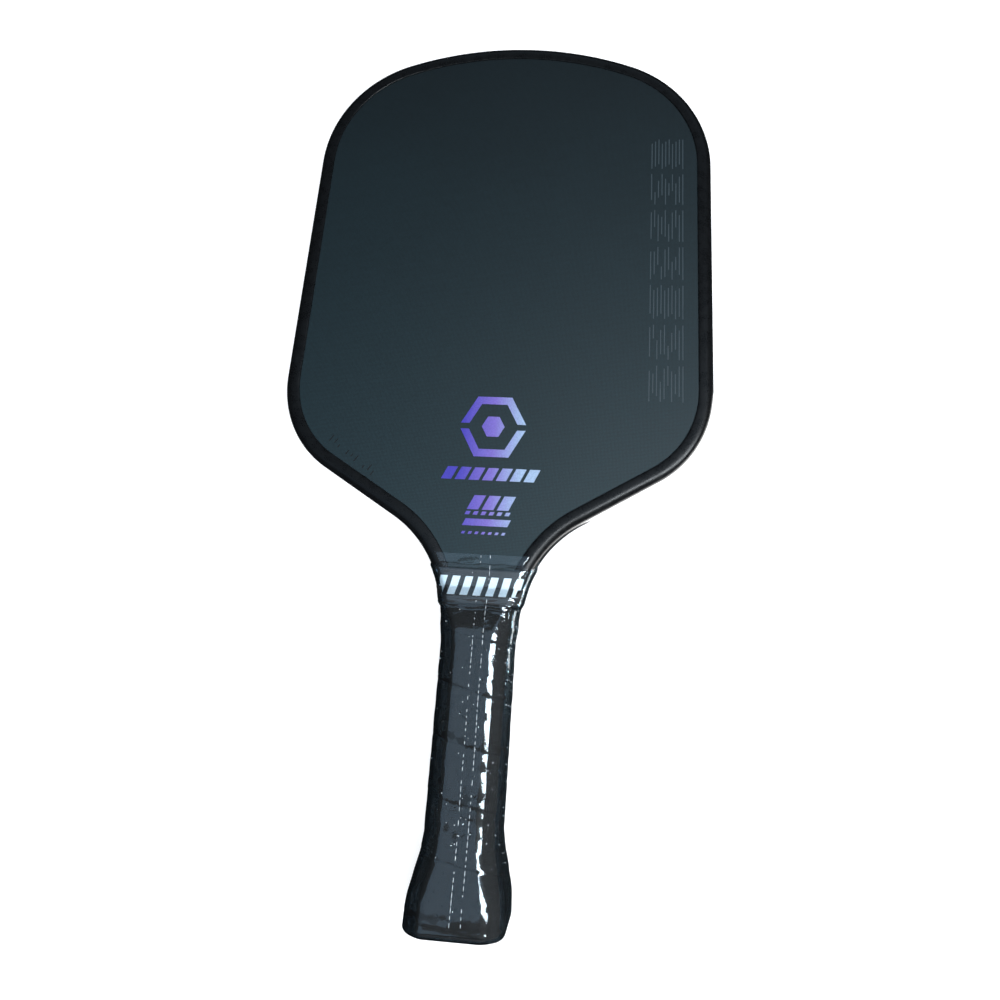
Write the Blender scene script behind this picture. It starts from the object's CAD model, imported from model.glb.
# Pickleball paddle: the looks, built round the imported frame.
# Metres. The paddle lies flat: +Y runs from the butt to the head, +Z out of the front face.
import math
import random

import bmesh
import bpy
from mathutils import Matrix, Vector, noise


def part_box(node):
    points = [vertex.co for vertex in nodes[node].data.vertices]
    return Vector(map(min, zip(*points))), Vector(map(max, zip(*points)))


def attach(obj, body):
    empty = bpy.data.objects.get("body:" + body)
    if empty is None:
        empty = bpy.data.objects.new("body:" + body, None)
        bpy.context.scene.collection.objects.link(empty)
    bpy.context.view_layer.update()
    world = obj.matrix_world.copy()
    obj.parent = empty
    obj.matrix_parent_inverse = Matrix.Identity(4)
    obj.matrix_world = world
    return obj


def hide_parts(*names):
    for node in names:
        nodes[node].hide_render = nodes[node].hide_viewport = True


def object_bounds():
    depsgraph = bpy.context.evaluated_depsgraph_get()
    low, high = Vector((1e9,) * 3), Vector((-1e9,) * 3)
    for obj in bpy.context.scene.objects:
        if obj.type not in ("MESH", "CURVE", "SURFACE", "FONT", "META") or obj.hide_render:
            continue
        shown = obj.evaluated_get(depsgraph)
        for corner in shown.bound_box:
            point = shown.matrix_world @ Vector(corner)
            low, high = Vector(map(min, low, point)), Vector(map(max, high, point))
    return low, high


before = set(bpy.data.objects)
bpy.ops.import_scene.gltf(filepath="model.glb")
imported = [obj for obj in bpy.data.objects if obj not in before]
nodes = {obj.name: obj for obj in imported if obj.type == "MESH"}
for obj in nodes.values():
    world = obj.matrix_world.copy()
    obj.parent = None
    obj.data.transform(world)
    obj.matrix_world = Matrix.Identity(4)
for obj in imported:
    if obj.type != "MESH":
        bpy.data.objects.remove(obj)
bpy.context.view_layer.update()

scene = bpy.context.scene
mm = 0.001


# shapes that several pieces share

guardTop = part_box("edge_guard")[1]
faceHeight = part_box("front_carbon_skin")[1].z
headShape = {
    "halfWidth": guardTop.x,
    "length": guardTop.y,
    "crownRadius": 174.6 * mm,
    "cornerRadius": 63 * mm,
    "shoulderRadius": 48.7 * mm,
    "sideY": 215.8 * mm,
    "throatRadius": 51.5 * mm,
    "throatY": 108.8 * mm,
    "throatHalf": 16.3 * mm,
    "arcStep": 1.6,          # degrees between the points of an arc
}


def onCircle(centre, radius, degrees):
    return Vector((centre[0] + radius * math.cos(math.radians(degrees)),
                   centre[1] + radius * math.sin(math.radians(degrees))))


def arcPoints(centre, radius, start, end):
    steps = math.ceil(abs(end - start) / headShape["arcStep"])
    return [onCircle(centre, radius, start + (end - start) * i / steps) for i in range(steps + 1)]


def headOutline(firstY):
    # the head's outline from the right of the throat over the crown to the left
    h = headShape
    throat = Vector((h["throatHalf"] + h["throatRadius"], h["throatY"]))
    shoulder = Vector((h["halfWidth"] - h["shoulderRadius"], h["sideY"]))
    crown = Vector((0, h["length"] - h["crownRadius"]))
    cornerX = h["halfWidth"] - h["cornerRadius"]
    cornerRise = math.sqrt((h["crownRadius"] - h["cornerRadius"]) ** 2 - cornerX ** 2)
    corner = Vector((cornerX, crown.y + cornerRise))
    crownTurn = math.degrees(math.atan2(corner.y - crown.y, cornerX))
    apart = shoulder - throat
    touch = math.degrees(math.atan2(apart.y, apart.x)
                         + math.acos((h["throatRadius"] + h["shoulderRadius"]) / apart.length))
    firstTurn = 180 - math.degrees(math.asin((firstY - h["throatY"]) / h["throatRadius"]))
    half = (arcPoints(throat, h["throatRadius"], firstTurn, touch)
            + arcPoints(shoulder, h["shoulderRadius"], touch - 180, 0)
            + arcPoints(corner, h["cornerRadius"], 0, crownTurn)
            + arcPoints(crown, h["crownRadius"], crownTurn, 90))
    return half + [Vector((-p.x, p.y)) for p in reversed(half[:-1])]


handleShape = {
    "halfWidth": 13.5 * mm,
    "padHeight": 3.9 * mm,       # of each foam pad over the face
    "bevelRun": 6 * mm,
    "taperY": 102.4 * mm,
    "rampY": 107.4 * mm,
    "padTopY": 121.8 * mm,
    "padTip": 0.8 * mm,
    "stepEndY": 125.4 * mm,
    "stepUnder": 1.9 * mm,       # of the step's top under the guard's face
    "throatIn": 1.9 * mm,        # the handle's inside, in from the guard's outside
    "capLength": 34 * mm,
    "flareFullY": 6 * mm,
    "flareWidth": 4.6 * mm,
    "flareHeight": 2.8 * mm,
    "cornerRadius": 6.2 * mm,
    "buttRound": 2.9 * mm,
    "flatSteps": 9,
    "arcSteps": 7,
}
# how far each layer lies out from the bare handle
layers = {
    "wrapIn": 0.05 * mm,
    "wrapOut": 1.9 * mm,
    "collarIn": 2.15 * mm,
    "collarOut": 2.85 * mm,
    "filmIn": 2.0 * mm,
    "filmOut": 2.1 * mm,
}
collarLow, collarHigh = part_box("grip_collar")[0].y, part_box("grip_collar")[1].y
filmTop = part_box("shrink_sleeve")[1].y


def smooth(share):
    share = min(1, max(0, share))
    return share * share * (3 - 2 * share)


def slope(y, y0, value0, y1, value1):
    return value0 + (value1 - value0) * min(1, max(0, (y - y0) / (y1 - y0)))


def halfSizes(y, grow, flared=True):
    # half width, half thickness and bevel distance of the handle at the height y
    h = handleShape
    flare = smooth((h["capLength"] - y) / (h["capLength"] - h["flareFullY"])) if flared else 0
    if y > headShape["throatY"]:
        rise = y - headShape["throatY"]
        radius = headShape["throatRadius"]
        width = headShape["throatHalf"] + radius - math.sqrt(radius ** 2 - rise ** 2) - h["throatIn"]
    else:
        width = slope(y, h["taperY"], h["halfWidth"], headShape["throatY"],
                      headShape["throatHalf"] - h["throatIn"]) + h["flareWidth"] * flare
    full = faceHeight + h["padHeight"]
    low = faceHeight + h["padTip"]
    if y < h["padTopY"]:
        height = full + (low - full) * smooth((y - h["rampY"]) / (h["padTopY"] - h["rampY"]))
    else:
        height = slope(y, h["padTopY"], low, h["stepEndY"], guardTop.z - h["stepUnder"])
    bevel = Vector((h["padHeight"], h["bevelRun"])).normalized()
    away = bevel.x * width + bevel.y * (faceHeight + h["flareHeight"] * flare) + grow
    return width + grow, height + h["flareHeight"] * flare + grow, away, bevel


def sectionLoop(y, grow, flared=True):
    # the handle's rounded eight-sided section, clockwise from the middle of the front
    width, height, away, bevel = halfSizes(y, grow, flared)
    r = handleShape["cornerRadius"]
    away = min(away, bevel.x * (width - r) + bevel.y * (height - r) + r)
    firstX = (away - r - bevel.y * (height - r)) / bevel.x
    secondZ = (away - r - bevel.x * (width - r)) / bevel.y
    turn = math.degrees(math.atan2(bevel.y, bevel.x))
    flat, arc = handleShape["flatSteps"], handleShape["arcSteps"]
    corner0 = [onCircle((firstX, height - r), r, 90 + (turn - 90) * i / arc) for i in range(arc + 1)]
    corner1 = [onCircle((width - r, secondZ), r, turn - turn * i / arc) for i in range(arc + 1)]
    quarter = [Vector((firstX * i / flat, height)) for i in range(flat)] + corner0
    quarter += [corner0[-1].lerp(corner1[0], i / flat) for i in range(1, flat)] + corner1
    quarter += [Vector((width, secondZ * (1 - i / flat))) for i in range(1, flat)]
    side = Vector((width, 0))
    lower = [Vector((p.x, -p.y)) for p in reversed(quarter[1:])]
    right = quarter + [side] + lower + [Vector((0, -height))]
    loop = right + [Vector((-p.x, p.y)) for p in reversed(right[1:-1])]
    return [Vector((p.x, y, p.y)) for p in loop]


def buttRound(y):
    # how far the butt's rounded end lies in from its full size
    r = handleShape["buttRound"]
    return r - math.sqrt(r ** 2 - max(0, r - max(0, y)) ** 2)


def outward(y, grow):
    # the way out at each point of that section
    return [(b - a) / mm for a, b in zip(sectionLoop(y, grow), sectionLoop(y, grow + mm))]


plainY = 70 * mm             # a height where the handle runs straight


def roundShares():
    loop = sectionLoop(plainY, layers["wrapOut"])
    lengths = [0]
    for a, b in zip(loop, loop[1:] + loop[:1]):
        lengths.append(lengths[-1] + (b - a).length)
    return [x / lengths[-1] for x in lengths], lengths[-1]


shares, gripRound = roundShares()
columns = len(shares) - 1


def frontPoint(across, y, grow):
    # the point that far round from the front's middle line, and the way out there
    loop = sectionLoop(y, grow)
    ways = outward(y, grow)
    left = abs(across)
    point, way = loop[columns // 2], ways[columns // 2]
    for i in range(columns // 2):
        step = (loop[i + 1] - loop[i]).length
        if left <= step:
            point = loop[i].lerp(loop[i + 1], left / step)
            way = ways[i].lerp(ways[i + 1], left / step).normalized()
            break
        left -= step
    if across < 0:
        point, way = Vector((-point.x, point.y, point.z)), Vector((-way.x, way.y, way.z))
    return point, way


def ringFaces(rows, count, closed=False):
    faces = []
    for row in range(rows if closed else rows - 1):
        a, b = row * count, ((row + 1) % rows) * count
        faces += [(a + i, a + (i + 1) % count, b + (i + 1) % count, b + i) for i in range(count)]
    return faces


def waver(share, y, rates, seed):
    # smooth noise over the handle, by the share of the way round and the height
    return noise.noise(Vector((share * rates[0], y * rates[1], seed)))


# mesh, node and finishing helpers

weldDistance = 2e-6
sliverLength = 1e-6


def makePiece(name, points, faces, material, sharp=35):
    mesh = bpy.data.meshes.new(name)
    mesh.from_pydata(points, [], faces)
    work = bmesh.new()
    work.from_mesh(mesh)
    bmesh.ops.remove_doubles(work, verts=work.verts, dist=weldDistance)
    bmesh.ops.dissolve_degenerate(work, edges=work.edges, dist=sliverLength)
    bmesh.ops.recalc_face_normals(work, faces=work.faces)
    work.to_mesh(mesh)
    work.free()
    return finishPiece(name, mesh, material, sharp)


def finishPiece(name, mesh, material, sharp=35):
    mesh.polygons.foreach_set("use_smooth", [True] * len(mesh.polygons))
    mesh.set_sharp_from_angle(angle=math.radians(sharp))
    mesh.materials.clear()
    mesh.materials.append(material)
    piece = bpy.data.objects.new(name, mesh)
    scene.collection.objects.link(piece)
    return piece


def place(piece, node):
    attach(piece, "root")
    if node:
        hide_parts(node)
    print("made", piece.name, len(piece.data.polygons), "faces")


def addNode(tree, kind, links=None, **values):
    node = tree.nodes.new(kind)
    for key, value in values.items():
        setattr(node, key, value)
    for key, value in (links or {}).items():
        if isinstance(value, bpy.types.NodeSocket):
            tree.links.new(value, node.inputs[key])
        else:
            node.inputs[key].default_value = value
    return node


def startTree(name, wanted):
    # a geometry tree with these named inputs
    tree = bpy.data.node_groups.new(name, "GeometryNodeTree")
    tree.interface.new_socket("Geometry", in_out="INPUT", socket_type="NodeSocketGeometry")
    for label, kind in wanted.items():
        tree.interface.new_socket(label, in_out="INPUT", socket_type="NodeSocket" + kind)
    tree.interface.new_socket("Geometry", in_out="OUTPUT", socket_type="NodeSocketGeometry")
    return tree, tree.nodes.new("NodeGroupInput").outputs


def endTree(tree, geometry, material):
    realized = addNode(tree, "GeometryNodeRealizeInstances", {"Geometry": geometry})
    painted = addNode(tree, "GeometryNodeSetMaterial", {"Geometry": realized.outputs[0],
                                                        "Material": material})
    end = tree.nodes.new("NodeGroupOutput")
    tree.links.new(painted.outputs[0], end.inputs[0])


def runTree(name, tree, points, edges, values, material, ways=None, recalculate=False):
    # grows the tree on a base of points and edges, and keeps only the plain mesh that it makes
    mesh = bpy.data.meshes.new(name + "Base")
    mesh.from_pydata(points, edges, [])
    if ways:
        stored = mesh.attributes.new("outward", "FLOAT_VECTOR", "POINT")
        stored.data.foreach_set("vector", [x for way in ways for x in way])
    base = bpy.data.objects.new(name + "Base", mesh)
    scene.collection.objects.link(base)
    modifier = base.modifiers.new(name, "NODES")
    modifier.node_group = tree
    for item in tree.interface.items_tree:
        if item.in_out == "INPUT" and item.name in values:
            modifier[item.identifier] = values[item.name]
    grown = base.evaluated_get(bpy.context.evaluated_depsgraph_get())
    made = bpy.data.meshes.new_from_object(grown)
    made.name = name
    bpy.data.objects.remove(base)
    if recalculate:
        work = bmesh.new()
        work.from_mesh(made)
        bmesh.ops.recalc_face_normals(work, faces=work.faces)
        work.to_mesh(made)
        work.free()
    return finishPiece(name, made, material)


# materials

def startMaterial(name):
    material = bpy.data.materials.new(name)
    material.use_nodes = True
    return material, material.node_tree, material.node_tree.nodes["Principled BSDF"]


def objectPlace(tree, scale=(1, 1, 1)):
    coordinates = addNode(tree, "ShaderNodeTexCoord").outputs["Object"]
    return addNode(tree, "ShaderNodeMapping", {"Vector": coordinates, "Scale": scale}).outputs[0]


def blendColours(tree, share, first, second):
    ramp = addNode(tree, "ShaderNodeValToRGB", {"Fac": share})
    ramp.color_ramp.elements[0].color = (*first, 1)
    ramp.color_ramp.elements[1].color = (*second, 1)
    return ramp.outputs[0]


def mapRange(tree, value, low, high, newLow, newHigh):
    return addNode(tree, "ShaderNodeMapRange", {"Value": value, "From Min": low, "From Max": high,
                                                "To Min": newLow, "To Max": newHigh}).outputs[0]


grainLook = {
    "broadShare": 0.12,          # the broad noise's scale, as a share of the fine one's
    "broadDetail": 4,
    "fineDetail": 3,
    "range": (0.75, 1.25),       # the noises' sum that runs from the dark tone to the light one
}


def grainFinish(name, finish):
    # two tones and two roughnesses over one grain, with a fine bump
    material, tree, shader = startMaterial(name)
    spot = objectPlace(tree, finish.get("stretch", (1, 1, 1)))
    coarse = finish["grain"] * grainLook["broadShare"]
    broad = addNode(tree, "ShaderNodeTexNoise", {"Vector": spot, "Scale": coarse,
                                                 "Detail": grainLook["broadDetail"]})
    fine = addNode(tree, "ShaderNodeTexNoise", {"Vector": spot, "Scale": finish["grain"],
                                                "Detail": grainLook["fineDetail"]})
    both = addNode(tree, "ShaderNodeMath", {0: broad.outputs["Fac"], 1: fine.outputs["Fac"]}, operation="ADD")
    share = mapRange(tree, both.outputs[0], *grainLook["range"], 0, 1)
    tree.links.new(blendColours(tree, share, finish["dark"], finish["light"]), shader.inputs["Base Color"])
    low, high = finish["rough"]
    tree.links.new(mapRange(tree, share, 0, 1, low, high), shader.inputs["Roughness"])
    bump = addNode(tree, "ShaderNodeBump", {"Height": fine.outputs["Fac"], "Distance": finish["bump"],
                                            "Strength": 1})
    tree.links.new(bump.outputs[0], shader.inputs["Normal"])
    shader.inputs["Metallic"].default_value = finish.get("metal", 0)
    shader.inputs["Specular IOR Level"].default_value = finish.get("shine", 0.5)
    return material


waveLength = 0.314           # between the bands of a wave texture at a scale of 1
carbonLook = {
    "low": (0.0100, 0.0260, 0.0330),     # near the throat
    "high": (0.0040, 0.0090, 0.0115),    # near the crown
    "lowY": 126 * mm,
    "highY": 396 * mm,
    "cloud": 14,
    "cloudShare": 0.25,          # how far the clouds shift the change from low to high
    "drift": (0.12, 1.12),
    "weavePitch": 0.62 * mm,
    "weaveWarp": 0.6,
    "fleck": 1700,
    "texture": (0.4, 1.4),
    "shade": (0.55, 1.5),        # from the texture's dark spots to its pale ones
    "bump": 0.02 * mm,
    "rough": (0.5, 0.62),
    "roughFleck": (0.3, 0.7),
    "shine": 0.3,
    "groove": (0.042, 0.058, 0.068),     # debossed lines to the right of the middle
    "markGroove": (0.0025, 0.0035, 0.0045),      # and to its left
    "changeX": 5 * mm,           # on each side of the middle, where the one gives way to the other
    "grooveFull": 0.08 * mm,     # under the face
    "grooveNone": 0.02 * mm,
}


def carbonMaterial():
    # raw carbon under peel ply: a fine cross weave, flecked, paler towards the throat
    look = carbonLook
    material, tree, shader = startMaterial("rawCarbon")
    spot = objectPlace(tree)
    bands = []
    for direction in ("X", "Y"):
        wave = addNode(tree, "ShaderNodeTexWave", {"Vector": spot, "Scale": waveLength / look["weavePitch"],
                       "Distortion": look["weaveWarp"], "Detail": 1}, bands_direction=direction)
        bands.append(wave.outputs["Fac"])
    weave = addNode(tree, "ShaderNodeMath", {0: bands[0], 1: bands[1]}, operation="MULTIPLY").outputs[0]
    fleck = addNode(tree, "ShaderNodeTexNoise", {"Vector": spot, "Scale": look["fleck"],
                                                 "Detail": 2}).outputs["Fac"]
    cloud = addNode(tree, "ShaderNodeTexNoise", {"Vector": spot, "Scale": look["cloud"],
                                                 "Detail": 3}).outputs["Fac"]
    apart = addNode(tree, "ShaderNodeSeparateXYZ", {0: spot}).outputs
    along = mapRange(tree, apart["Y"], look["lowY"], look["highY"], 0, 1)
    drift = addNode(tree, "ShaderNodeMath", {0: cloud, 1: look["cloudShare"], 2: along},
                    operation="MULTIPLY_ADD").outputs[0]
    base = blendColours(tree, mapRange(tree, drift, *look["drift"], 0, 1), look["low"], look["high"])
    texture = addNode(tree, "ShaderNodeMath", {0: weave, 1: fleck}, operation="ADD").outputs[0]
    flecks = mapRange(tree, texture, *look["texture"], *look["shade"])
    colour = addNode(tree, "ShaderNodeMixRGB", {"Fac": 1, "Color1": base, "Color2": flecks},
                     blend_type="MULTIPLY").outputs[0]
    depth = addNode(tree, "ShaderNodeMath", {0: apart["Z"]}, operation="ABSOLUTE").outputs[0]
    sunk = mapRange(tree, depth, faceHeight - look["grooveFull"], faceHeight - look["grooveNone"], 1, 0)
    side = mapRange(tree, apart["X"], -look["changeX"], look["changeX"], 0, 1)
    mark = blendColours(tree, side, look["markGroove"], look["groove"])
    marked = addNode(tree, "ShaderNodeMixRGB", {"Fac": sunk, "Color1": colour, "Color2": mark}).outputs[0]
    tree.links.new(marked, shader.inputs["Base Color"])
    tree.links.new(mapRange(tree, fleck, *look["roughFleck"], *look["rough"]), shader.inputs["Roughness"])
    bump = addNode(tree, "ShaderNodeBump", {"Height": texture, "Distance": look["bump"], "Strength": 1})
    tree.links.new(bump.outputs[0], shader.inputs["Normal"])
    shader.inputs["Specular IOR Level"].default_value = look["shine"]
    return material


inkLook = {
    "left": (0.050, 0.036, 0.400),
    "middle": (0.190, 0.130, 0.500),
    "right": (0.340, 0.450, 0.640),
    "leftX": -14 * mm,
    "rightX": 15 * mm,
    "middleShare": 0.52,
    "fleck": 2600,
    "worn": (0.35, 0.7),
    "shade": (0.8, 1.08),
    "rough": (0.35, 0.5),
    "roughFleck": (0.3, 0.7),
    "bump": 0.01 * mm,
}


def printMaterial():
    # ink that runs from violet on the left through lilac to pale blue on the right
    look = inkLook
    material, tree, shader = startMaterial("gradientInk")
    spot = objectPlace(tree)
    across = addNode(tree, "ShaderNodeSeparateXYZ", {0: spot}).outputs["X"]
    share = mapRange(tree, across, look["leftX"], look["rightX"], 0, 1)
    ramp = addNode(tree, "ShaderNodeValToRGB", {"Fac": share})
    stops = ramp.color_ramp.elements
    stops[0].color = (*look["left"], 1)
    stops[1].color = (*look["right"], 1)
    middle = stops.new(look["middleShare"])
    middle.color = (*look["middle"], 1)
    fleck = addNode(tree, "ShaderNodeTexNoise", {"Vector": spot, "Scale": look["fleck"],
                                                 "Detail": 2}).outputs["Fac"]
    shade = mapRange(tree, fleck, *look["worn"], *look["shade"])
    worn = addNode(tree, "ShaderNodeMixRGB", {"Fac": 1, "Color1": ramp.outputs[0], "Color2": shade},
                   blend_type="MULTIPLY").outputs[0]
    tree.links.new(worn, shader.inputs["Base Color"])
    tree.links.new(mapRange(tree, fleck, *look["roughFleck"], *look["rough"]), shader.inputs["Roughness"])
    bump = addNode(tree, "ShaderNodeBump", {"Height": fleck, "Distance": look["bump"], "Strength": 1})
    tree.links.new(bump.outputs[0], shader.inputs["Normal"])
    return material


filmLook = {
    "haze": 0.004,
    "hazeColour": (0.9, 0.95, 1, 1),
    "shineColour": (0.86, 0.95, 1, 1),
    "rough": 0.1,
    "ior": 1.45,
    "streak": 420,
    "streakDepth": 0.05 * mm,
    "dentSize": 0.0042,          # metres between the dents that the tape's holes leave
    "dentScatter": 0.55,
    "dentEdge": 0.13,            # where a dent ends, as a share of that distance
    "dentDepth": 0.08 * mm,
}


def filmMaterial():
    # clear shrink film: see-through, with a mirror shine by Fresnel and a breath of haze
    look = filmLook
    material, tree, shader = startMaterial("clearFilm")
    tree.nodes.remove(shader)
    spot = objectPlace(tree)
    streak = addNode(tree, "ShaderNodeTexNoise", {"Vector": spot, "Scale": look["streak"],
                                                  "Detail": 4}).outputs["Fac"]
    fine = addNode(tree, "ShaderNodeBump", {"Height": streak, "Distance": look["streakDepth"],
                                            "Strength": 1}).outputs[0]
    cells = addNode(tree, "ShaderNodeTexVoronoi", {"Vector": spot, "Scale": 1 / look["dentSize"],
                                                   "Randomness": look["dentScatter"]})
    dent = mapRange(tree, cells.outputs["Distance"], 0, look["dentEdge"], 0, 1)
    bump = addNode(tree, "ShaderNodeBump", {"Height": dent, "Distance": look["dentDepth"], "Strength": 1,
                                            "Normal": fine}).outputs[0]
    clear = addNode(tree, "ShaderNodeBsdfTransparent")
    gloss = addNode(tree, "ShaderNodeBsdfGlossy", {"Color": look["shineColour"], "Roughness": look["rough"],
                                                   "Normal": bump})
    haze = addNode(tree, "ShaderNodeBsdfDiffuse", {"Color": look["hazeColour"]})
    fresnel = addNode(tree, "ShaderNodeFresnel", {"IOR": look["ior"], "Normal": bump}).outputs[0]
    hazy = addNode(tree, "ShaderNodeMixShader", {0: look["haze"], 1: clear.outputs[0], 2: haze.outputs[0]})
    film = addNode(tree, "ShaderNodeMixShader", {0: fresnel, 1: hazy.outputs[0], 2: gloss.outputs[0]})
    tree.links.new(film.outputs[0], tree.nodes["Material Output"].inputs["Surface"])
    return material


finishes = {
    "guardPlastic": {"dark": (0.0034, 0.0036, 0.0040), "light": (0.0056, 0.0060, 0.0066), "grain": 2200,
                     "rough": (0.25, 0.35), "bump": 0.002 * mm, "shine": 0.2},
    "gripTape": {"dark": (0.0028, 0.0027, 0.0026), "light": (0.0075, 0.0072, 0.0070), "grain": 1500,
                 "rough": (0.6, 0.8), "bump": 0.05 * mm, "shine": 0.2},
    "tapeHole": {"dark": (0.0015, 0.0015, 0.0015), "light": (0.0030, 0.0030, 0.0030), "grain": 2000,
                 "rough": (0.8, 0.9), "bump": 0.01 * mm, "shine": 0.1},
    "collarRubber": {"dark": (0.0060, 0.0070, 0.0085), "light": (0.0095, 0.0110, 0.0130), "grain": 1800,
                     "rough": (0.45, 0.6), "bump": 0.01 * mm},
    "collarInk": {"dark": (0.62, 0.72, 0.78), "light": (0.74, 0.83, 0.88), "grain": 1600,
                  "rough": (0.4, 0.55), "bump": 0.008 * mm},
    "capPlastic": {"dark": (0.0060, 0.0060, 0.0065), "light": (0.0095, 0.0095, 0.0100), "grain": 1400,
                   "rough": (0.42, 0.55), "bump": 0.015 * mm},
    "labelVinyl": {"dark": (0.012, 0.013, 0.016), "light": (0.018, 0.019, 0.023), "grain": 1800,
                   "rough": (0.3, 0.4), "bump": 0.004 * mm},
    "closingTape": {"dark": (0.0045, 0.0045, 0.0045), "light": (0.0080, 0.0080, 0.0080), "grain": 1200,
                    "rough": (0.35, 0.45), "bump": 0.01 * mm},
    "honeycombPlastic": {"dark": (0.62, 0.62, 0.60), "light": (0.78, 0.78, 0.76), "grain": 900,
                         "rough": (0.45, 0.55), "bump": 0.02 * mm},
    "bondingScrim": {"dark": (0.60, 0.60, 0.57), "light": (0.85, 0.85, 0.82), "grain": 1200,
                     "rough": (0.75, 0.9), "bump": 0.04 * mm, "stretch": (1, 0.3, 1)},
    "glassCloth": {"dark": (0.42, 0.45, 0.34), "light": (0.60, 0.62, 0.50), "grain": 1800,
                   "rough": (0.25, 0.4), "bump": 0.03 * mm, "stretch": (0.3, 1, 1)},
    "edgeTape": {"dark": (0.55, 0.53, 0.46), "light": (0.72, 0.70, 0.62), "grain": 1500,
                 "rough": (0.6, 0.75), "bump": 0.02 * mm},
    "handleFoam": {"dark": (0.46, 0.38, 0.25), "light": (0.64, 0.55, 0.40), "grain": 1100,
                   "rough": (0.8, 0.95), "bump": 0.12 * mm},
    "stapleSteel": {"dark": (0.50, 0.50, 0.50), "light": (0.68, 0.68, 0.67), "grain": 1600,
                    "rough": (0.22, 0.35), "bump": 0.004 * mm, "metal": 1, "stretch": (0.1, 1, 1)},
    "cutFilm": {"dark": (0.62, 0.70, 0.76), "light": (0.90, 0.94, 0.98), "grain": 2500,
                "rough": (0.08, 0.16), "bump": 0.004 * mm, "shine": 1.0},
}
look = {name: grainFinish(name, finish) for name, finish in finishes.items()}
look["rawCarbon"] = carbonMaterial()
look["gradientInk"] = printMaterial()
look["clearFilm"] = filmMaterial()
print("materials", len(look))

# the CAD pieces whose shape is already right
carried = {
    "honeycomb_core": "honeycombPlastic",
    "front_scrim": "bondingScrim",
    "back_scrim": "bondingScrim",
    "front_glass_ply": "glassCloth",
    "back_glass_ply": "glassCloth",
    "front_carbon_skin": "rawCarbon",
    "back_carbon_skin": "rawCarbon",
    "front_print": "gradientInk",
    "back_print": "gradientInk",
    "edge_guard_tape": "edgeTape",
    "front_handle_pallet": "handleFoam",
    "back_handle_pallet": "handleFoam",
    "butt_cap_staples": "stapleSteel",
    "end_label": "labelVinyl",
    "grip_tack": "stapleSteel",
    "finishing_tape": "closingTape",
}
for nodeName, lookName in carried.items():
    slots = nodes[nodeName].material_slots
    for slot in slots:
        slot.material = look[lookName]
    if not slots:
        nodes[nodeName].data.materials.append(look[lookName])
print("carried over", len(carried))


# edge guard: a rounded U swept round the head

guardShape = {
    "halfThickness": guardTop.z,
    "wall": 1.6 * mm,
    "pocket": faceHeight + 0.03 * mm,
    "lip": 6.95 * mm,
    "round": 3.4 * mm,
    "lipDroop": 0.22 * mm,       # the lip presses down towards its inner edge
    "lipRound": 0.35 * mm,
    "firstY": 122.5 * mm,
    "roundSteps": 8,
    "lipSteps": 4,
}


def guardSection():
    # upper half from the outside in, then the pocket, then the same mirrored
    g = guardShape
    top, r = g["halfThickness"], g["round"]
    upper = [Vector((0, (top - r) * 0.5))]
    steps = g["roundSteps"]
    upper += [onCircle((r, top - r), r, 180 - 90 * i / steps) for i in range(steps + 1)]
    edge = top - g["lipDroop"]
    steps = g["lipSteps"]
    upper += [Vector((r + (g["lip"] - r - g["lipRound"]) * i / steps, top - g["lipDroop"] * (i / steps) ** 2))
              for i in range(1, steps + 1)]
    upper += [onCircle((g["lip"] - g["lipRound"], edge - g["lipRound"]), g["lipRound"], turn)
              for turn in (60, 30, 0)]
    upper += [Vector((g["lip"], g["pocket"])), Vector((g["wall"], g["pocket"]))]
    lower = [Vector((p.x, -p.y)) for p in reversed(upper)]
    return upper + lower


def buildGuard():
    tree, given = startTree("sweepGuard", {"Section": "Object", "Material": "Material"})
    section = addNode(tree, "GeometryNodeObjectInfo", {"Object": given["Section"]},
                      transform_space="ORIGINAL")
    sectionCurve = addNode(tree, "GeometryNodeMeshToCurve", {"Mesh": section.outputs["Geometry"]})
    path = addNode(tree, "GeometryNodeMeshToCurve", {"Mesh": given["Geometry"]})
    upright = addNode(tree, "GeometryNodeSetCurveNormal", {"Curve": path.outputs[0]}, mode="Z_UP")
    swept = addNode(tree, "GeometryNodeCurveToMesh", {"Curve": upright.outputs[0],
                    "Profile Curve": sectionCurve.outputs[0], "Fill Caps": True})
    endTree(tree, swept.outputs[0], given["Material"])

    points = guardSection()
    edges = [(i, (i + 1) % len(points)) for i in range(len(points))]
    mesh = bpy.data.meshes.new("guardSection")
    mesh.from_pydata([(-p.x, p.y, 0) for p in points], edges, [])
    sectionObject = bpy.data.objects.new("guardSection", mesh)
    scene.collection.objects.link(sectionObject)
    line = headOutline(guardShape["firstY"])
    steps = [(i, i + 1) for i in range(len(line) - 1)]
    guard = runTree("edgeGuard", tree, [(p.x, p.y, 0) for p in line], steps,
                    {"Section": sectionObject, "Material": look["guardPlastic"]}, look["guardPlastic"],
                    recalculate=True)
    bpy.data.objects.remove(sectionObject)
    return guard


place(buildGuard(), "edge_guard")


# grip wrap: perforated tape wound up the handle, each turn lapping the one below

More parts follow.
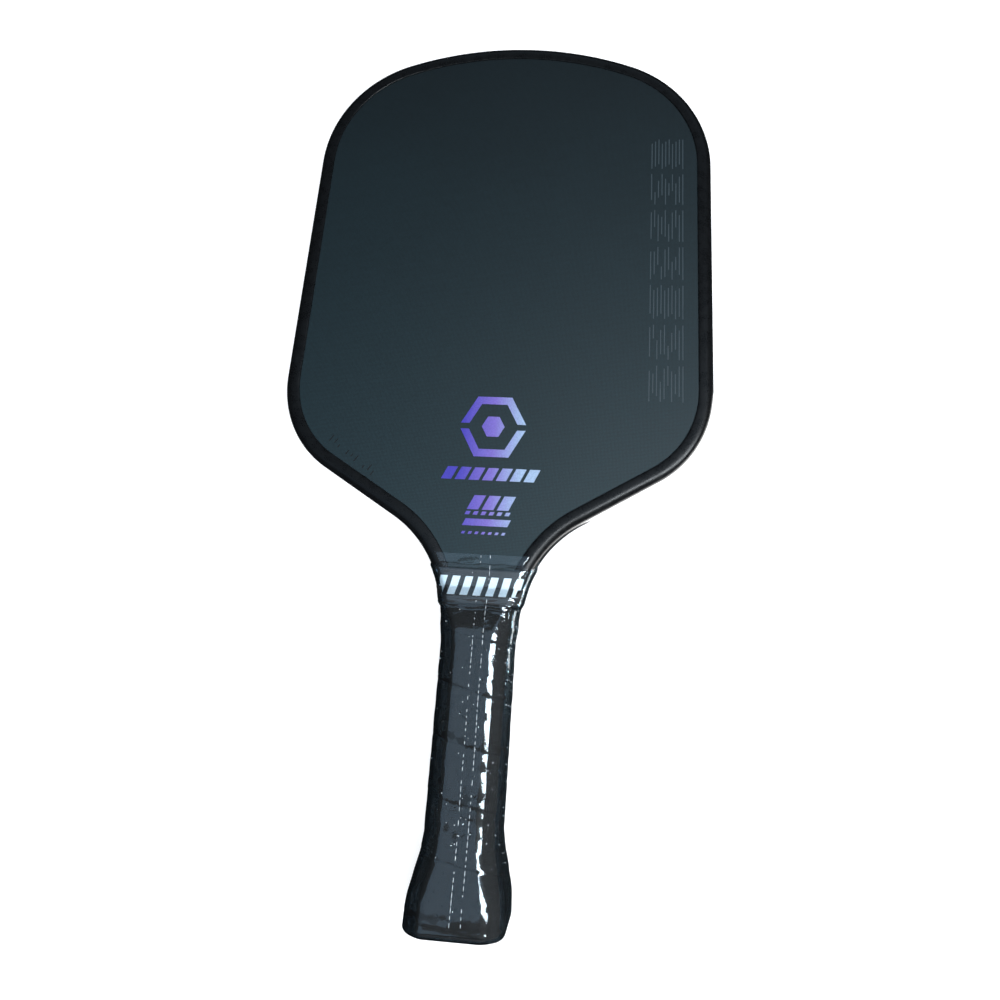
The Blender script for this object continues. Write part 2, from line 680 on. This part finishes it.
wrapShape = {
    "pitch": 20.4 * mm,
    "firstSeam": 3.6 * mm,       # where a lap's lower edge crosses the middle of the front
    "step": 0.34 * mm,
    "lowY": 2.45 * mm,
    "highY": 121.8 * mm,
    "rowsPerLap": [0, 0.012, 0.025, 0.045, 0.08, 0.13, 0.19, 0.26, 0.33, 0.4, 0.47, 0.54, 0.61, 0.68, 0.75,
                   0.82, 0.88, 0.93, 0.965, 0.985, 0.995],
    "turns": range(-1, 8),       # more than cover the handle
    "insideRows": 30,
    "lapRound": 0.028,           # this and the next four are shares: of the tape's width, or of the step
    "lapFall": 0.85,
    "dip": 0.25,
    "dipFrom": 0.93,
    "dipRun": 0.06,
    "sunk": 1.1,                 # steps that the tape's low side lies under the wrap's outside
    "wear": 0.05 * mm,
    "wearRates": (30, 180),
    "wearSeed": 3.1,
}


def lapHeight(share):
    # the lap's rounded lower edge, its slow fall, and the small dip under the next lap
    w = wrapShape
    rise = smooth(share / w["lapRound"])
    dip = w["dip"] * smooth((share - w["dipFrom"]) / w["dipRun"])
    return rise * (1 - w["lapFall"] * share) - dip


def lapShare(y, share):
    w = wrapShape
    return ((y - w["firstSeam"]) / w["pitch"] + share) % 1.0


def wrapGrow(y, share):
    w = wrapShape
    worn = w["wear"] * waver(share, y, w["wearRates"], w["wearSeed"])
    grown = layers["wrapOut"] - w["step"] * w["sunk"] + w["step"] * lapHeight(lapShare(y, share)) + worn
    return grown - buttRound(y)


def buildWrap():
    w = wrapShape
    points, rowCount = [], 0
    for lap in w["turns"]:
        for share in w["rowsPerLap"]:
            start = w["firstSeam"] + w["pitch"] * (lap + share)
            if start < w["lowY"] or start - w["pitch"] > w["highY"]:
                continue
            for column in range(columns + 1):
                y = min(w["highY"], max(w["lowY"], start - w["pitch"] * shares[column]))
                at = column % columns
                points.append(sectionLoop(y, wrapGrow(y, shares[at]))[at])
            rowCount += 1
    width = columns + 1
    faces = [(r * width + c, r * width + c + 1, (r + 1) * width + c + 1, (r + 1) * width + c)
             for r in range(rowCount - 1) for c in range(columns)]
    first = len(points)
    for y in (w["lowY"], w["highY"]):
        for column in range(columns):
            points.append(sectionLoop(y, wrapGrow(y, shares[column]))[column])
    inner = len(points)
    steps = w["insideRows"]
    rows = [w["lowY"] + (w["highY"] - w["lowY"]) * i / steps for i in range(steps + 1)]
    for y in rows:
        points += sectionLoop(y, layers["wrapIn"])
    faces += [tuple(inner + i for i in face) for face in ringFaces(len(rows), columns)]
    last = inner + (len(rows) - 1) * columns
    for i in range(columns):
        j = (i + 1) % columns
        faces.append((first + i, first + j, inner + j, inner + i))
        faces.append((first + columns + i, first + columns + j, last + j, last + i))
    return makePiece("gripWrap", points, faces, look["gripTape"])


place(buildWrap(), "grip_wrap")

holePattern = {
    "lines": [0.2, 0.36, 0.52, 0.68, 0.84],     # share of the tape's width
    "pitch": 5.2 * mm,
    "slant": 0.28,               # how far each line is shifted along, in pitches
    "radius": 0.42 * mm,
    "depth": 0.03 * mm,
    "sides": 8,
    "lowClear": 3 * mm,
    "highClear": 1.5 * mm,
}


def holePlaces():
    # the tape's holes lie in slanted rows across each turn
    w, h = wrapShape, holePattern
    count = int(gripRound / h["pitch"])
    places, ways = [], []
    for lap in w["turns"]:
        for number, line in enumerate(h["lines"]):
            for i in range(count):
                share = ((i + number * h["slant"]) / count) % 1.0
                y = w["firstSeam"] + w["pitch"] * (lap + line - share)
                if not w["lowY"] + h["lowClear"] < y < collarLow - h["highClear"]:
                    continue
                across = share * gripRound if share < 0.5 else (share - 1) * gripRound
                across = across if abs(across) < gripRound / 2 else 0
                point, way = frontPoint(across, y, wrapGrow(y, share))
                places.append(point)
                ways.append(way)
    return places, ways


def buildHoles():
    # flat dark rings that stand for the punched holes
    tree, given = startTree("punchTape", {"Radius": "Float", "Sides": "Int", "Material": "Material"})
    ring = addNode(tree, "GeometryNodeMeshCylinder", {"Vertices": given["Sides"], "Radius": given["Radius"],
                   "Depth": holePattern["depth"]})
    stored = addNode(tree, "GeometryNodeInputNamedAttribute", {"Name": "outward"}, data_type="FLOAT_VECTOR")
    turned = addNode(tree, "FunctionNodeAlignRotationToVector", {"Vector": stored.outputs[0]}, axis="Z")
    copies = addNode(tree, "GeometryNodeInstanceOnPoints", {"Points": given["Geometry"],
                     "Instance": ring.outputs["Mesh"], "Rotation": turned.outputs[0]})
    endTree(tree, copies.outputs[0], given["Material"])
    places, ways = holePlaces()
    values = {"Radius": holePattern["radius"], "Sides": holePattern["sides"], "Material": look["tapeHole"]}
    return runTree("tapeHoles", tree, places, [], values, look["tapeHole"], ways)


place(buildHoles(), None)


# butt cap: the flared end, with a rounded rim and a recess for the label

capShape = {
    "rimY": 2.4 * mm,
    "rimSteps": 6,
    "wall": 1 * mm,
    "endThickness": 3 * mm,
    "flareSteps": 14,
    "labelRadius": 10.05 * mm,
    "hub": 0.02,                 # the middle loop's radius, as a share of the label's
    "labelDepth": 0.3 * mm,
    "gap": 0.1 * mm,
}


def roundLoop(y, radius):
    # a circle with the section's number of points, each in the same direction from the middle
    found = []
    for p in sectionLoop(y, 0, flared=False):
        found.append(Vector((p.x, 0, p.z)).normalized() * radius + Vector((0, y, 0)))
    return found


def buildCap():
    c = capShape
    rows = [roundLoop(c["labelDepth"], c["labelRadius"] * c["hub"]),
            roundLoop(c["labelDepth"], c["labelRadius"]), roundLoop(0, c["labelRadius"])]
    for i in range(c["rimSteps"] + 1):
        y = c["rimY"] * (i / c["rimSteps"]) ** 2
        rows.append(sectionLoop(y, layers["wrapOut"] - buttRound(y)))
    rows.append(sectionLoop(c["rimY"], 0))
    steps = c["flareSteps"]
    for i in range(1, steps + 1):
        rows.append(sectionLoop(c["rimY"] + (handleShape["capLength"] - c["rimY"]) * i / steps, 0))
    inside = -c["wall"] + c["gap"]
    rows += [sectionLoop(handleShape["capLength"], inside, flared=False),
             sectionLoop(c["endThickness"], inside, flared=False)]
    rows.append(roundLoop(c["endThickness"], c["labelRadius"] * c["hub"]))
    points = [p for row in rows for p in row]
    faces = ringFaces(len(rows), columns)
    faces.append(tuple(range(columns)))
    faces.append(tuple(range(len(points) - columns, len(points))))
    return makePiece("buttCap", points, faces, look["capPlastic"])


place(buildCap(), "butt_cap")


# collar: a soft rubber band over the wrap's top end, with white bars

collarShape = {
    "rows": 18,
    "rowsFrom": 1 * mm,          # in from each end
    "endRows": [0, 0.02 * mm, 0.06 * mm, 0.12 * mm, 0.25 * mm, 0.45 * mm],
    "edgeRound": 0.45 * mm,
    "wave": 0.05 * mm,
    "waveRates": (14, 260),
    "waveSeed": 7.7,
    "waveRun": 2 * mm,           # over which the wave grows from each end
}


def collarGrow(y, share):
    c = collarShape
    edge = min(y - collarLow, collarHigh - y)
    turned = c["edgeRound"] - math.sqrt(max(0, c["edgeRound"] ** 2 - max(0, c["edgeRound"] - edge) ** 2))
    ripple = c["wave"] * waver(share, y, c["waveRates"], c["waveSeed"])
    return layers["collarOut"] - c["wave"] - turned + ripple * smooth(edge / c["waveRun"])


def buildCollar():
    c = collarShape
    even = collarHigh - collarLow - 2 * c["rowsFrom"]
    heights = [collarLow + end for end in c["endRows"]]
    heights += [collarLow + c["rowsFrom"] + even * i / c["rows"] for i in range(c["rows"] + 1)]
    heights += [collarHigh - end for end in reversed(c["endRows"])]
    points = []
    for y in heights:
        base, ways = sectionLoop(y, layers["collarIn"]), outward(y, layers["collarIn"])
        for i in range(columns):
            points.append(base[i] + ways[i] * (collarGrow(y, shares[i]) - layers["collarIn"]))
    for y in reversed([collarLow, (collarLow + collarHigh) / 2, collarHigh]):
        points += sectionLoop(y, layers["collarIn"])
    faces = ringFaces(len(heights) + 3, columns, closed=True)
    return makePiece("gripCollar", points, faces, look["collarRubber"])


place(buildCollar(), "grip_collar")

barShape = {
    "count": 7,
    "width": 3.3 * mm,
    "pitch": 5.6 * mm,
    "height": 7.6 * mm,
    "lean": 1.9 * mm,
    "underside": 0.01 * mm,
    "thickness": 0.05 * mm,
    "settle": 0.4,               # how far they lie into the collar's wave
    "across": 6,
    "up": 8,
}


def buildBars():
    # slanted bars bent round the collar's front
    b = barShape
    middle = (collarLow + collarHigh) / 2
    points, faces = [], []
    for number in range(b["count"]):
        left = (number - (b["count"] - 1) / 2) * b["pitch"] - b["width"] / 2
        start = len(points)
        for lift in (b["underside"], b["thickness"]):
            for row in range(b["up"] + 1):
                up = row / b["up"] - 0.5
                y = middle + up * b["height"]
                for column in range(b["across"] + 1):
                    across = left + b["width"] * column / b["across"] + b["lean"] * up
                    point, way = frontPoint(across, y, layers["collarOut"])
                    points.append(point + way * (lift - collarShape["wave"] * b["settle"]))
        width, layer = b["across"] + 1, (b["across"] + 1) * (b["up"] + 1)
        for row in range(b["up"]):
            for column in range(b["across"]):
                corner = start + row * width + column
                faces.append((corner, corner + width, corner + width + 1, corner + 1))
                top = (corner, corner + 1, corner + width + 1, corner + width)
                faces.append(tuple(layer + i for i in top))
        rim = [start + i for i in range(width)]
        rim += [start + row * width + width - 1 for row in range(1, b["up"] + 1)]
        rim += [start + b["up"] * width + i for i in reversed(range(width - 1))]
        rim += [start + row * width for row in reversed(range(1, b["up"]))]
        faces += [(rim[i], rim[(i + 1) % len(rim)], layer + rim[(i + 1) % len(rim)], layer + rim[i])
                  for i in range(len(rim))]
    return makePiece("collarBars", points, faces, look["collarInk"])


place(buildBars(), "collar_print")


# shrink film: drawn tight over the handle, creased where it bridges the collar and the throat

filmShape = {
    "thickness": 0.1 * mm,
    "fold": 6.1 * mm,
    "collarClear": 0.92 * mm,     # more than the wrap's film, where it rides over the collar
    "climb": 2.4 * mm,           # the length over which it climbs onto the collar
    "tightBump": 0.15 * mm,
    "tightFrom": 5 * mm,
    "tightRates": (0.3, 0.17),   # of the noise, per millimetre round and along the handle
    "tightDetail": (0.9, 2.1, 3),
    "tightGain": 0.9,
    "tightShare": 0.5,
    "noiseRadius": 17,           # millimetres, near the handle's own
    "puckerPitch": 8.7 * mm,     # along the handle, where the cushion bulges between puckers
    "puckerDepth": 0.11 * mm,
    "puckerTurn": 1.7,           # pitches that a pucker climbs in one turn
    "puckerWander": 0.35,
    "puckerRates": (9, 90),
    "puckerSeed": 5.5,
    "puckerFade": 9 * mm,
    "creaseBump": 0.16 * mm,
    "creaseRates": (0.3, 0.42),
    "creaseSlant": 0.1,
    "creaseSharp": 9,
    "creaseBelow": 13 * mm,      # how far the creases run from the collar's low end, and from its high end
    "creaseAbove": 7 * mm,
    "lapShow": 0.4,              # how much of the laps' steps shows through
    "lapClear": 3 * mm,
    "foldRows": 4,
    "rimRows": 6,
    "frontRound": 1.15,          # the way round the front, against the straight way across
    "outOfReach": 99 * mm,       # no wrinkle lies there
    "rowStep": 0.75 * mm,
    "fineStep": 0.42 * mm,
    "fineFrom": 108 * mm,
}
# [across, height, half length, half width, turn in degrees, depth]: single wrinkles that stay in the film
wrinkles = [
    [-6.5, 135.9, 5.5, 0.8, 9, 0.45],
    [-2.0, 134.9, 3.0, 0.5, -14, 0.3],
    [9.0, 117.6, 5.2, 0.55, -9, 0.5],
    [10.5, 115.9, 4.2, 0.5, -7, 0.45],
    [5.0, 113.0, 2.2, 0.5, 35, 0.25],
    [-9.5, 115.6, 2.4, 0.8, 20, 0.3],
    [-4.0, 117.2, 4.5, 0.5, 4, 0.25],
    [14.5, 136.5, 2.4, 0.6, 50, 0.3],
    [12.5, 133.9, 3.0, 0.5, -20, 0.3],
    [-15.0, 117.0, 3.0, 0.6, -20, 0.3],
]


def wrinkleLift(across, y):
    total = 0
    for x0, y0, longHalf, wideHalf, turn, depth in wrinkles:
        dx, dy = across / mm - x0, y / mm - y0
        c, s = math.cos(math.radians(turn)), math.sin(math.radians(turn))
        along, beside = (dx * c + dy * s) / longHalf, (dy * c - dx * s) / wideHalf
        if abs(along) < 1.5 and abs(beside) < 3:
            total += depth * mm * math.exp(-along ** 4 - beside ** 2)
    return total


def creaseLift(around, y):
    f = filmShape
    rate, rise = f["creaseRates"]
    slanted = Vector((around.x * rate, around.y * rate, around.z * rise + around.x * f["creaseSlant"]))
    ridge = 1 - abs(noise.noise(slanted))
    nearCollar = max(smooth(1 - abs(y - collarLow) / f["creaseBelow"]),
                     smooth(1 - abs(y - collarHigh) / f["creaseAbove"]))
    return f["creaseBump"] * ridge ** f["creaseSharp"] * nearCollar


def puckerLift(share, y):
    f = filmShape
    wander = f["puckerWander"] * waver(share, y, f["puckerRates"], f["puckerSeed"])
    wave = abs(math.cos(math.pi * (y / f["puckerPitch"] + share * f["puckerTurn"] + wander)))
    return f["puckerDepth"] * ((wave - 1) * smooth((collarLow - y) / f["puckerFade"]))


def tightLift(around, y):
    f = filmShape
    rate, rise = f["tightRates"]
    tight = noise.fractal(Vector((around.x * rate, around.y * rate, around.z * rise)), *f["tightDetail"])
    swell = min(1, tight * f["tightGain"]) - 1
    return f["tightBump"] * swell * f["tightShare"] * smooth(y / f["tightFrom"])


def filmLift(index, y, across):
    f = filmShape
    share = shares[index]
    turn = share * 2 * math.pi
    around = Vector((math.cos(turn) * f["noiseRadius"], math.sin(turn) * f["noiseRadius"], y / mm))
    onCollar = smooth((y - collarLow) / f["climb"] + 1) * smooth((collarHigh - y) / f["climb"] + 1)
    lap = 0
    if y < collarLow - f["lapClear"]:
        lap = wrapShape["step"] * (lapHeight(lapShare(y, share)) - 1)
    lift = f["collarClear"] * onCollar + creaseLift(around, y) + wrinkleLift(across, y) + puckerLift(share, y)
    return lift + tightLift(around, y) + lap * f["lapShow"]


def filmRows():
    # [height, inward] pairs over the outside, from the fold's inner edge round the rim to the film's top
    f = filmShape
    r = handleShape["buttRound"]
    steps = f["foldRows"]
    rows = [(-f["thickness"], r + (f["fold"] - r) * (1 - i / steps)) for i in range(steps)]
    steps = f["rimRows"]
    rows += [(r * (1 - math.cos(t)) - f["thickness"] * math.cos(t), r * (1 - math.sin(t)))
             for t in [math.radians(90 * i / steps) for i in range(steps + 1)]]
    y = r
    while y < filmTop - f["fineStep"]:
        y += f["rowStep"] if y < f["fineFrom"] else f["fineStep"]
        rows.append((min(y, filmTop), 0))
    return rows


def buildFilm():
    f = filmShape
    rows = filmRows()
    points = []
    for inside in (False, True):
        grow = layers["filmIn"] if inside else layers["filmOut"]
        for y, inward in (reversed(rows) if inside else rows):
            height = max(0, y) if inside and inward else y
            base, ways = sectionLoop(height, grow - inward), outward(height, grow - inward)
            for i in range(columns):
                side = base[i].x * f["frontRound"] if base[i].z > 0 else f["outOfReach"]
                lift = filmLift(i, y, side) if not inward else 0
                points.append(base[i] + ways[i] * lift)
    faces = ringFaces(2 * len(rows), columns, closed=True)
    return makePiece("shrinkFilm", points, faces, look["clearFilm"], sharp=60)


place(buildFilm(), "shrink_sleeve")

tearShape = {
    "lines": [-0.6 * mm, 3.7 * mm],
    "pitch": 2.3 * mm,
    "length": 0.85 * mm,         # half of one cut
    "width": 0.12 * mm,
    "height": 0.12 * mm,
    "kept": 0.74,                # the share of the cuts that show
    "stretch": (0.35, 1.5),
    "sway": 0.25 * mm,
    "swayRates": (900, 55),
    "lowY": 6 * mm,
    "topClear": 0.4 * mm,
    "rise": 1.0 * mm,            # between the points of a line
    "seed": 11,
}


def buildTearStrip():
    # two lines of short cuts, whose lips stand up from the film
    t = tearShape
    tree, given = startTree("cutTearLine", {"Pitch": "Float", "Size": "Vector", "Seed": "Int",
                                            "Material": "Material"})
    path = addNode(tree, "GeometryNodeMeshToCurve", {"Mesh": given["Geometry"]})
    stations = addNode(tree, "GeometryNodeResampleCurve", {"Curve": path.outputs[0],
                                                           "Length": given["Pitch"]}, mode="LENGTH")
    lip = addNode(tree, "GeometryNodeMeshUVSphere", {"Segments": 6, "Rings": 4, "Radius": 1})
    tangent = addNode(tree, "GeometryNodeInputTangent")
    turned = addNode(tree, "FunctionNodeAlignRotationToVector", {"Vector": tangent.outputs[0]}, axis="Y")
    keep = addNode(tree, "FunctionNodeRandomValue", {"Probability": t["kept"], "Seed": given["Seed"]},
                   data_type="BOOLEAN")
    shortest, longest = t["stretch"]
    longer = addNode(tree, "FunctionNodeRandomValue", {2: shortest, 3: longest, "Seed": given["Seed"]},
                     data_type="FLOAT")
    stretch = addNode(tree, "ShaderNodeCombineXYZ", {"X": 1, "Y": longer.outputs[1], "Z": 1})
    size = addNode(tree, "ShaderNodeVectorMath", {0: given["Size"], 1: stretch.outputs[0]},
                   operation="MULTIPLY")
    copies = addNode(tree, "GeometryNodeInstanceOnPoints", {"Points": stations.outputs[0],
                     "Selection": keep.outputs[3], "Instance": lip.outputs["Mesh"],
                     "Rotation": turned.outputs[0], "Scale": size.outputs[0]})
    endTree(tree, copies.outputs[0], given["Material"])
    plain = sectionLoop(plainY, 0)
    points, edges = [], []
    for x in t["lines"]:
        index = min(range(columns // 4), key=lambda i: abs(plain[i].x - abs(x)))
        y = t["lowY"]
        while y < filmTop - t["topClear"]:
            sway = t["sway"] * waver(x, y, t["swayRates"], 0)
            point, way = frontPoint(x + sway, y, layers["filmOut"])
            points.append(point + way * filmLift(index, y, x))
            if len(points) > 1 and points[-2].y < y:
                edges.append((len(points) - 2, len(points) - 1))
            y += t["rise"]
    return runTree("tearStrip", tree, points, edges, {"Pitch": t["pitch"], "Size": (t["width"], t["length"],
                   t["height"]), "Seed": t["seed"], "Material": look["cutFilm"]}, look["cutFilm"])


place(buildTearStrip(), None)

speckShape = {
    "count": 260,
    "radius": 0.18 * mm,
    "rowStep": 3.1 * mm,         # the specks follow the tape's slanted rows of holes
    "spread": (0.4, 1.3),        # of their sizes
    "reach": 0.46,               # round each side, as a share of the whole way round
    "lowY": 22 * mm,
    "topClear": 3 * mm,
    "collarClear": 1 * mm,
    "sunk": 0.02 * mm,
    "seed": 4,
}


def buildSpecks():
    # small bright dimples where the film is caught in the tape's holes
    d = speckShape
    tree, given = startTree("dimpleFilm", {"Radius": "Float", "Seed": "Int", "Material": "Material"})
    dimple = addNode(tree, "GeometryNodeMeshUVSphere", {"Segments": 6, "Rings": 4,
                                                        "Radius": given["Radius"]})
    smallest, largest = d["spread"]
    size = addNode(tree, "FunctionNodeRandomValue", {2: smallest, 3: largest, "Seed": given["Seed"]},
                   data_type="FLOAT")
    copies = addNode(tree, "GeometryNodeInstanceOnPoints", {"Points": given["Geometry"],
                     "Instance": dimple.outputs["Mesh"], "Scale": size.outputs[1]})
    endTree(tree, copies.outputs[0], given["Material"])
    pick = random.Random(d["seed"])
    places = []
    for _ in range(d["count"]):
        across = pick.uniform(-d["reach"], d["reach"]) * gripRound
        row = pick.uniform(d["lowY"], filmTop - d["topClear"])
        y = d["rowStep"] * round(row / d["rowStep"]) - across * wrapShape["pitch"] / gripRound
        if not d["lowY"] < y < collarLow - d["collarClear"]:
            continue
        point, way = frontPoint(across, y, layers["filmOut"])
        index = min(range(columns), key=lambda i: abs(shares[i] - (across / gripRound) % 1))
        places.append(point + way * (filmLift(index, y, across) - d["sunk"]))
    return runTree("filmSpecks", tree, places, [], {"Radius": d["radius"], "Seed": d["seed"],
                   "Material": look["cutFilm"]}, look["cutFilm"])


place(buildSpecks(), None)


# stage, light and camera

stageLook = {
    "drop": 0.1 * mm,            # the floor lies this far under the lowest point
    "size": 12.0,
    "wallHeight": 12.0,
    "white": (0.42, 0.42, 0.43),
    "rough": 0.9,
    "shine": 0.1,
    "glow": 0.88,
}


def buildFloor():
    s = stageLook
    half = s["size"] / 2
    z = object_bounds()[0].z - s["drop"]
    material, _, shader = startMaterial("paleFloor")
    shader.inputs["Base Color"].default_value = (*s["white"], 1)
    shader.inputs["Roughness"].default_value = s["rough"]
    shader.inputs["Specular IOR Level"].default_value = s["shine"]
    shader.inputs["Emission Color"].default_value = (1, 1, 1, 1)
    shader.inputs["Emission Strength"].default_value = s["glow"]
    corners = [(-half, -half), (half, -half), (half, half), (-half, half)]
    floor = makePiece("floor", [(x, y, z) for x, y in corners], [(0, 1, 2, 3)], material)
    floor.visible_glossy = False     # the dark rims don't mirror it
    points = [(x, y, z) for x, y in corners] + [(x, y, s["wallHeight"]) for x, y in corners]
    walls = makePiece("walls", points, [(i, (i + 1) % 4, 4 + (i + 1) % 4, 4 + i) for i in range(4)], material)
    walls.visible_glossy = walls.visible_diffuse = False     # they close the view and light nothing


# name: [place, aim, width, length, watts, colour]
lights = {
    "windowLight": [(0.50, -0.05, 1.05), (0, 0.1, 0), 0.26, 0.9, 21, (0.88, 0.95, 1)],
    "ceilingLight": [(-0.23, 0.02, 1.5), (-0.1, 0.1, 0), 0.8, 2.0, 3.6, (0.50, 0.74, 1)],
    "backLight": [(0.2, 1.5, 1.2), (0, 0.2, 0), 1.6, 0.7, 2.0, (0.60, 0.80, 1)],
    "edgeCard": [(0.128, 0.155, -0.0165), (0.128, 0.155, 1), 0.16, 0.13, 0.60, (1, 1, 1)],
}


airLook = {
    "colour": (0.70, 0.87, 1, 1),
    "strength": 0.03,
}


def buildLights():
    for name, (spot, aim, width, length, watts, colour) in lights.items():
        lamp = bpy.data.lights.new(name, "AREA")
        lamp.shape = "RECTANGLE"
        lamp.size, lamp.size_y = width, length
        lamp.energy = watts
        lamp.color = colour
        fixture = bpy.data.objects.new(name, lamp)
        fixture.location = spot
        fixture.rotation_euler = (Vector(aim) - Vector(spot)).to_track_quat("-Z", "Y").to_euler()
        scene.collection.objects.link(fixture)
    world = bpy.data.worlds.new("softRoom")
    world.use_nodes = True
    sky = world.node_tree.nodes["Background"]
    sky.inputs["Color"].default_value = airLook["colour"]
    sky.inputs["Strength"].default_value = airLook["strength"]
    scene.world = world
    scene.view_settings.view_transform = "Standard"


cameraSetup = {
    "place": (56.25 * mm, 136.14 * mm, 371.02 * mm),
    "right": (0.99623, 0.05215, -0.06937),
    "up": (-0.02700, 0.94587, 0.32342),
    "sensor": 36,
    "lens": 28.45,
    "shiftX": -0.0525,
    "shiftY": -0.2027,
    "near": 0.01,
    "far": 20,
}


def buildCamera():
    c = cameraSetup
    data = bpy.data.cameras.new("camera")
    data.sensor_width = c["sensor"]
    data.lens = c["lens"]
    data.shift_x, data.shift_y = c["shiftX"], c["shiftY"]
    data.clip_start, data.clip_end = c["near"], c["far"]
    camera = bpy.data.objects.new("camera", data)
    right, up = Vector(c["right"]).normalized(), Vector(c["up"]).normalized()
    back = right.cross(up)
    camera.matrix_world = Matrix.Translation(c["place"]) @ Matrix((right, up, back)).transposed().to_4x4()
    scene.collection.objects.link(camera)
    scene.camera = camera


buildFloor()
buildLights()
buildCamera()
print("stage ready")
